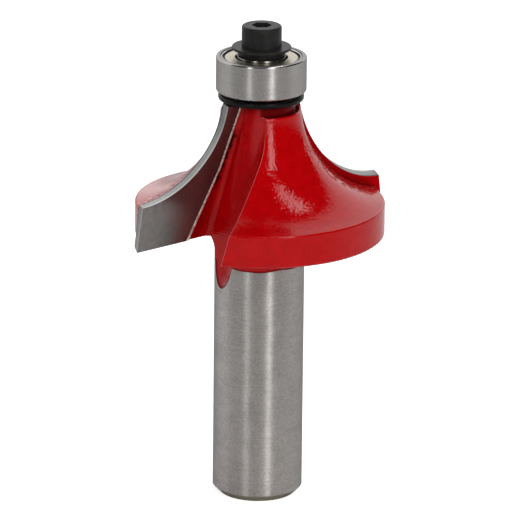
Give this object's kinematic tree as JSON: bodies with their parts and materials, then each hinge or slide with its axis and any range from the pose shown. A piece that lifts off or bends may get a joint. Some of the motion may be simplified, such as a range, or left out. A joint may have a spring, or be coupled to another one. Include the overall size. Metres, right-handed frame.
{
  "type": "router bit",
  "caption": "Cove router bit: red enamelled steel body, sheared carbide tips, plain round shank and a ball-bearing guide held by a cap screw.",
  "frame": {"origin": "centre of the shank's end face, which the bit stands on", "axes": "+Z along the bit's axis towards the bearing; the two tips lie along +X and -X; the bit cuts turning anticlockwise about +Z"},
  "size_m": [0.0376, 0.0352, 0.0685],
  "materials": {
    "red_enamel": "gloss enamel on the head, bare brushed steel on the shank",
    "carbide": "ground",
    "braze": "dull",
    "bearing_steel": "ground and polished",
    "cover_steel": "pressed sheet",
    "black_oxide": "satin black"
  },
  "bodies": {
    "root": {"bit_body": "red_enamel", "carbide_tip_1": "carbide", "carbide_tip_2": "carbide", "braze_layer_1": "braze", "braze_layer_2": "braze", "lower_shield": "black_oxide", "bearing_inner_ring": "bearing_steel", "clamp_washer": "black_oxide", "cap_screw": "black_oxide"},
    "outer_ring": {"bearing_outer_ring": "bearing_steel", "bearing_shield_upper": "cover_steel", "bearing_shield_lower": "cover_steel", "snap_ring_upper": "bearing_steel", "snap_ring_lower": "bearing_steel"},
    "ball_cage": {"cage_upper_half": "cover_steel", "cage_lower_half": "cover_steel"},
    "ball_1": {"bearing_ball_1": "bearing_steel"},
    "ball_2": {"bearing_ball_2": "bearing_steel"},
    "ball_3": {"bearing_ball_3": "bearing_steel"},
    "ball_4": {"bearing_ball_4": "bearing_steel"},
    "ball_5": {"bearing_ball_5": "bearing_steel"},
    "ball_6": {"bearing_ball_6": "bearing_steel"},
    "ball_7": {"bearing_ball_7": "bearing_steel"}
  },
  "joints": [
    {"name": "bearing_spin", "type": "hinge", "parent": "root", "child": "outer_ring", "pos_m": [0, 0, 0.06166], "axis": [0, 0, 1], "continuous": true},
    {"name": "cage_spin", "type": "hinge", "parent": "root", "child": "ball_cage", "pos_m": [0, 0, 0.06166], "axis": [0, 0, 1], "continuous": true},
    {"name": "ball_1_spin", "type": "hinge", "parent": "ball_cage", "child": "ball_1", "pos_m": [0.00437, 0, 0.06166], "axis": [0, 0, 1], "continuous": true},
    {"name": "ball_2_spin", "type": "hinge", "parent": "ball_cage", "child": "ball_2", "pos_m": [0.00272, 0.00341, 0.06166], "axis": [0, 0, 1], "continuous": true},
    {"name": "ball_3_spin", "type": "hinge", "parent": "ball_cage", "child": "ball_3", "pos_m": [-0.00097, 0.00426, 0.06166], "axis": [0, 0, 1], "continuous": true},
    {"name": "ball_4_spin", "type": "hinge", "parent": "ball_cage", "child": "ball_4", "pos_m": [-0.00393, 0.00189, 0.06166], "axis": [0, 0, 1], "continuous": true},
    {"name": "ball_5_spin", "type": "hinge", "parent": "ball_cage", "child": "ball_5", "pos_m": [-0.00393, -0.00189, 0.06166], "axis": [0, 0, 1], "continuous": true},
    {"name": "ball_6_spin", "type": "hinge", "parent": "ball_cage", "child": "ball_6", "pos_m": [-0.00097, -0.00426, 0.06166], "axis": [0, 0, 1], "continuous": true},
    {"name": "ball_7_spin", "type": "hinge", "parent": "ball_cage", "child": "ball_7", "pos_m": [0.00272, -0.00341, 0.06166], "axis": [0, 0, 1], "continuous": true}
  ],
  "couplings": [
    {"joint": "cage_spin", "follows": "bearing_spin", "ratio": 0.6363},
    {"joint": "ball_1_spin", "follows": "bearing_spin", "ratio": 1.6972},
    {"joint": "ball_2_spin", "follows": "bearing_spin", "ratio": 1.6972},
    {"joint": "ball_3_spin", "follows": "bearing_spin", "ratio": 1.6972},
    {"joint": "ball_4_spin", "follows": "bearing_spin", "ratio": 1.6972},
    {"joint": "ball_5_spin", "follows": "bearing_spin", "ratio": 1.6972},
    {"joint": "ball_6_spin", "follows": "bearing_spin", "ratio": 1.6972},
    {"joint": "ball_7_spin", "follows": "bearing_spin", "ratio": 1.6972}
  ]
}
